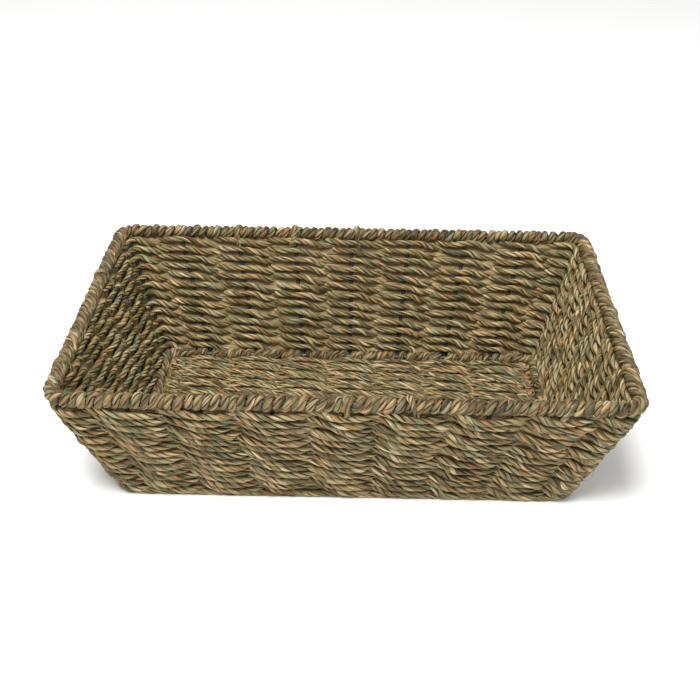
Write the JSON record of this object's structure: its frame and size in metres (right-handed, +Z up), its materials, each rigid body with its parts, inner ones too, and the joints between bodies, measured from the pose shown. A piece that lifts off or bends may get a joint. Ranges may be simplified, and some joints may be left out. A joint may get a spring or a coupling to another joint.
{
  "type": "bread basket",
  "caption": "Low rectangular bread basket with sloping walls of twined seagrass cord over a welded wire frame, a close-wrapped rim and foot ring, and an open top.",
  "frame": {"origin": "centre of the footprint, on the surface that the basket stands on", "axes": "+Z up to the open rim, +X along the length, +Y across the width"},
  "size_m": [0.4004, 0.2804, 0.1059],
  "materials": {
    "seagrass_wall": "matt twisted seagrass cord, olive and straw",
    "seagrass_base": "matt twisted seagrass cord, straw",
    "seagrass_wrap": "matt twisted seagrass cord, closely wrapped",
    "painted_wire": "dark green paint, satin"
  },
  "bodies": {
    "root": {"rim_wire": "painted_wire", "foot_wire": "painted_wire", "cross_wire_1": "painted_wire", "cross_wire_2": "painted_wire", "cross_wire_3": "painted_wire", "cross_wire_4": "painted_wire", "cross_wire_5": "painted_wire", "cross_wire_6": "painted_wire", "cross_wire_7": "painted_wire", "left_stake_1": "painted_wire", "left_stake_2": "painted_wire", "left_stake_3": "painted_wire", "left_stake_4": "painted_wire", "left_stake_5": "painted_wire", "right_stake_1": "painted_wire", "right_stake_2": "painted_wire", "right_stake_3": "painted_wire", "right_stake_4": "painted_wire", "right_stake_5": "painted_wire", "corner_post_front_left": "painted_wire", "corner_post_front_right": "painted_wire", "corner_post_back_left": "painted_wire", "corner_post_back_right": "painted_wire", "wall_row_01": "seagrass_wall", "wall_row_02": "seagrass_wall", "wall_row_03": "seagrass_wall", "wall_row_04": "seagrass_wall", "wall_row_05": "seagrass_wall", "wall_row_06": "seagrass_wall", "wall_row_07": "seagrass_wall", "wall_row_08": "seagrass_wall", "wall_row_09": "seagrass_wall", "wall_row_10": "seagrass_wall", "wall_row_11": "seagrass_wall", "wall_row_12": "seagrass_wall", "wall_row_13": "seagrass_wall", "base_rows_01": "seagrass_base", "base_rows_02": "seagrass_base", "base_rows_03": "seagrass_base", "base_rows_04": "seagrass_base", "base_rows_05": "seagrass_base", "base_rows_06": "seagrass_base", "base_rows_07": "seagrass_base", "base_rows_08": "seagrass_base", "base_rows_09": "seagrass_base", "base_rows_10": "seagrass_base", "base_rows_11": "seagrass_base", "base_rows_12": "seagrass_base", "rim_wrap": "seagrass_wrap", "foot_wrap": "seagrass_wrap"}
  },
  "joints": []
}
